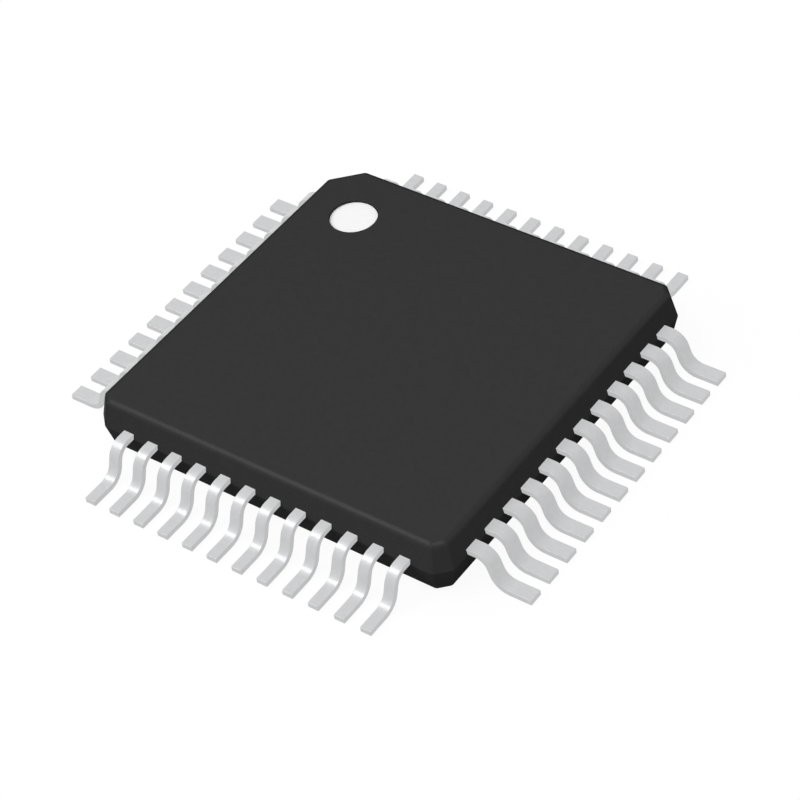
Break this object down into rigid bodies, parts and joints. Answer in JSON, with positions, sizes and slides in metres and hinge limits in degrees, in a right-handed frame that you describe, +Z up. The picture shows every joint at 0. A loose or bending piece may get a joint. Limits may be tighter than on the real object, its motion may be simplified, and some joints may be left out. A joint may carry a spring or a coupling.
{
  "type": "quad flat pack chip",
  "caption": "Thin quad flat package: a drafted moulded body with cut corners, a pin-one disc in a shallow recess, and formed gull-wing leads along every side.",
  "frame": {"origin": "on the plane that the feet stand on, under the middle of the moulded body", "axes": "+Z up, away from the board; the corner with the pin-one mark points to -X, +Y; leads count anticlockwise from it, seen from above"},
  "size_m": [0.0092, 0.0092, 0.001],
  "materials": {
    "mould_compound": "fine matte moulded epoxy",
    "mark_white": "flat white",
    "tinned_lead": "satin tin plating on copper alloy",
    "paddle_copper": "bare copper alloy",
    "attach_adhesive": "silver-filled adhesive",
    "silicon": "polished silicon",
    "bond_gold": "drawn gold wire"
  },
  "bodies": {
    "root": {"mould_body": "mould_compound", "pin_one_mark": "mark_white", "die_paddle": "paddle_copper", "die_attach": "attach_adhesive", "silicon_die": "silicon", "bond_wires_west": "bond_gold", "bond_wires_south": "bond_gold", "bond_wires_east": "bond_gold", "bond_wires_north": "bond_gold", "lead_01": "tinned_lead", "lead_02": "tinned_lead", "lead_03": "tinned_lead", "lead_04": "tinned_lead", "lead_05": "tinned_lead", "lead_06": "tinned_lead", "lead_07": "tinned_lead", "lead_08": "tinned_lead", "lead_09": "tinned_lead", "lead_10": "tinned_lead", "lead_11": "tinned_lead", "lead_12": "tinned_lead", "lead_13": "tinned_lead", "lead_14": "tinned_lead", "lead_15": "tinned_lead", "lead_16": "tinned_lead", "lead_17": "tinned_lead", "lead_18": "tinned_lead", "lead_19": "tinned_lead", "lead_20": "tinned_lead", "lead_21": "tinned_lead", "lead_22": "tinned_lead", "lead_23": "tinned_lead", "lead_24": "tinned_lead", "lead_25": "tinned_lead", "lead_26": "tinned_lead", "lead_27": "tinned_lead", "lead_28": "tinned_lead", "lead_29": "tinned_lead", "lead_30": "tinned_lead", "lead_31": "tinned_lead", "lead_32": "tinned_lead", "lead_33": "tinned_lead", "lead_34": "tinned_lead", "lead_35": "tinned_lead", "lead_36": "tinned_lead", "lead_37": "tinned_lead", "lead_38": "tinned_lead", "lead_39": "tinned_lead", "lead_40": "tinned_lead", "lead_41": "tinned_lead", "lead_42": "tinned_lead", "lead_43": "tinned_lead", "lead_44": "tinned_lead", "lead_45": "tinned_lead", "lead_46": "tinned_lead", "lead_47": "tinned_lead", "lead_48": "tinned_lead"}
  },
  "joints": []
}
